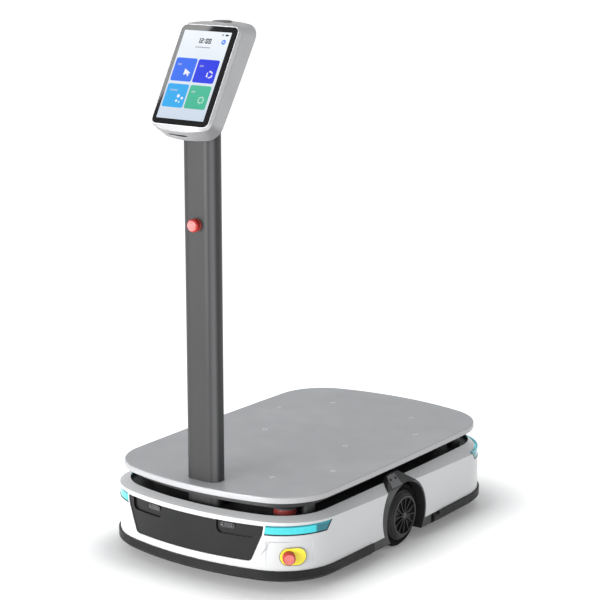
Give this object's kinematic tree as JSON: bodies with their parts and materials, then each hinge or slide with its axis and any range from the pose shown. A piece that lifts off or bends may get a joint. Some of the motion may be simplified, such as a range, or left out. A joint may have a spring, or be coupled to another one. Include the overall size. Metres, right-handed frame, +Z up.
{
  "type": "autonomous mobile robot",
  "caption": "Low wheeled load platform with rounded shells, drive wheels, swivel casters and bumpers, and a mast carrying a tilted touchscreen head.",
  "frame": {"origin": "bottom centre of the bounding box, on the floor between the drive wheels", "axes": "+Z up; -Y is the front end with the mast and screen; +X is the robot's right-hand side as seen from its front in the picture"},
  "size_m": [0.6444, 0.996, 1.3381],
  "materials": {
    "shell_white": "satin",
    "panel_black": "glossy",
    "lens_black": "polished",
    "light_cyan": "glossy",
    "bumper_rubber": "matt",
    "steel": "brushed",
    "frame_black": "matt",
    "tray_black": "matt",
    "deck_silver": "satin",
    "zinc": "zinc plated",
    "caster_tread": "matt",
    "tyre": "matt",
    "motor_aluminium": "black",
    "cap_black": "matt",
    "arm_steel": "matt",
    "mast_grey": "satin anodised",
    "head_silver": "satin",
    "glass": "polished",
    "display": "emissive",
    "circuit": "matt",
    "disc_grey": "matt",
    "stop_red": "glossy",
    "stop_yellow": "glossy",
    "scanner_red": "glossy",
    "battery_grey": "matt",
    "box_grey": "satin",
    "copper": "polished"
  },
  "bodies": {
    "base": {"front_shell": "shell_white", "rear_shell": "shell_white", "front_panel": "panel_black", "rear_panel": "panel_black", "depth_cameras": "lens_black", "front_light_strips": "light_cyan", "rear_light_strips": "light_cyan", "bumper_guides": "steel", "pivot_pins": "steel", "deck_inserts": "steel", "base_frame": "frame_black", "caster_bays": "frame_black", "deck_posts": "frame_black", "deck_frame": "frame_black", "top_tray": "tray_black", "wheel_arch_right": "tray_black", "wheel_arch_left": "tray_black", "load_deck": "deck_silver", "caster_plates": "zinc", "mast": "mast_grey", "mast_foot": "arm_steel", "head_bracket": "arm_steel", "head_shell": "head_silver", "head_bezel": "head_silver", "screen_glass": "glass", "display_panel": "display", "head_board": "circuit", "top_disc": "disc_grey", "chin_grille": "cap_black", "mast_stop_housing": "cap_black", "base_stop_housing": "cap_black", "base_stop_plate": "stop_yellow", "scanner_bodies": "tray_black", "scanner_windows": "scanner_red", "battery_pack": "battery_grey", "control_box": "box_grey", "motor_drivers": "box_grey", "charge_contacts": "copper"},
    "swing_arm_right": {"swing_arm_right": "arm_steel", "motor_axle_right": "steel"},
    "drive_wheel_right": {"tyre_right": "tyre", "hub_motor_right": "motor_aluminium", "hub_cap_right": "cap_black"},
    "swing_arm_left": {"swing_arm_left": "arm_steel", "motor_axle_left": "steel"},
    "drive_wheel_left": {"tyre_left": "tyre", "hub_motor_left": "motor_aluminium", "hub_cap_left": "cap_black"},
    "caster_fork_front_right": {"caster_fork_front_right": "zinc"},
    "caster_wheel_front_right": {"caster_wheel_front_right": "caster_tread"},
    "caster_fork_front_left": {"caster_fork_front_left": "zinc"},
    "caster_wheel_front_left": {"caster_wheel_front_left": "caster_tread"},
    "caster_fork_rear_right": {"caster_fork_rear_right": "zinc"},
    "caster_wheel_rear_right": {"caster_wheel_rear_right": "caster_tread"},
    "caster_fork_rear_left": {"caster_fork_rear_left": "zinc"},
    "caster_wheel_rear_left": {"caster_wheel_rear_left": "caster_tread"},
    "front_bumper": {"front_bumper": "bumper_rubber"},
    "rear_bumper": {"rear_bumper": "bumper_rubber"},
    "mast_stop_button": {"mast_stop_button": "stop_red"},
    "base_stop_button": {"base_stop_button": "stop_red"}
  },
  "joints": [
    {"name": "suspension_right", "type": "hinge", "parent": "base", "child": "swing_arm_right", "pos_m": [0.216, 0.115, 0.095], "axis": [1, 0, 0], "range_deg": [-2, 2.5], "stiffness_Nm_per_rad": 260, "springref_deg": 5.16},
    {"name": "wheel_spin_right", "type": "hinge", "parent": "swing_arm_right", "child": "drive_wheel_right", "pos_m": [0.274, 0, 0.083], "axis": [1, 0, 0], "continuous": true},
    {"name": "suspension_left", "type": "hinge", "parent": "base", "child": "swing_arm_left", "pos_m": [-0.216, 0.115, 0.095], "axis": [1, 0, 0], "range_deg": [-2, 2.5], "stiffness_Nm_per_rad": 260, "springref_deg": 5.16},
    {"name": "wheel_spin_left", "type": "hinge", "parent": "swing_arm_left", "child": "drive_wheel_left", "pos_m": [-0.274, 0, 0.083], "axis": [1, 0, 0], "continuous": true},
    {"name": "swivel_front_right", "type": "hinge", "parent": "base", "child": "caster_fork_front_right", "pos_m": [0.208, -0.335, 0.07], "axis": [0, 0, 1], "continuous": true},
    {"name": "roll_front_right", "type": "hinge", "parent": "caster_fork_front_right", "child": "caster_wheel_front_right", "pos_m": [0.208, -0.315, 0.03], "axis": [1, 0, 0], "continuous": true},
    {"name": "swivel_front_left", "type": "hinge", "parent": "base", "child": "caster_fork_front_left", "pos_m": [-0.208, -0.335, 0.07], "axis": [0, 0, 1], "continuous": true},
    {"name": "roll_front_left", "type": "hinge", "parent": "caster_fork_front_left", "child": "caster_wheel_front_left", "pos_m": [-0.208, -0.315, 0.03], "axis": [1, 0, 0], "continuous": true},
    {"name": "swivel_rear_right", "type": "hinge", "parent": "base", "child": "caster_fork_rear_right", "pos_m": [0.208, 0.335, 0.07], "axis": [0, 0, 1], "continuous": true},
    {"name": "roll_rear_right", "type": "hinge", "parent": "caster_fork_rear_right", "child": "caster_wheel_rear_right", "pos_m": [0.208, 0.355, 0.03], "axis": [1, 0, 0], "continuous": true},
    {"name": "swivel_rear_left", "type": "hinge", "parent": "base", "child": "caster_fork_rear_left", "pos_m": [-0.208, 0.335, 0.07], "axis": [0, 0, 1], "continuous": true},
    {"name": "roll_rear_left", "type": "hinge", "parent": "caster_fork_rear_left", "child": "caster_wheel_rear_left", "pos_m": [-0.208, 0.355, 0.03], "axis": [1, 0, 0], "continuous": true},
    {"name": "front_bumper_press", "type": "slide", "parent": "base", "child": "front_bumper", "axis": [0, 1, 0], "range_m": [0, 0.004], "stiffness_N_per_m": 4000, "springref_m": -0.002},
    {"name": "rear_bumper_press", "type": "slide", "parent": "base", "child": "rear_bumper", "axis": [0, -1, 0], "range_m": [0, 0.004], "stiffness_N_per_m": 4000, "springref_m": -0.002},
    {"name": "mast_stop_press", "type": "slide", "parent": "base", "child": "mast_stop_button", "axis": [0, 1, 0], "range_m": [0, 0.004]},
    {"name": "base_stop_press", "type": "slide", "parent": "base", "child": "base_stop_button", "axis": [-0.6587, 0.7524, 0], "range_m": [0, 0.004]}
  ]
}
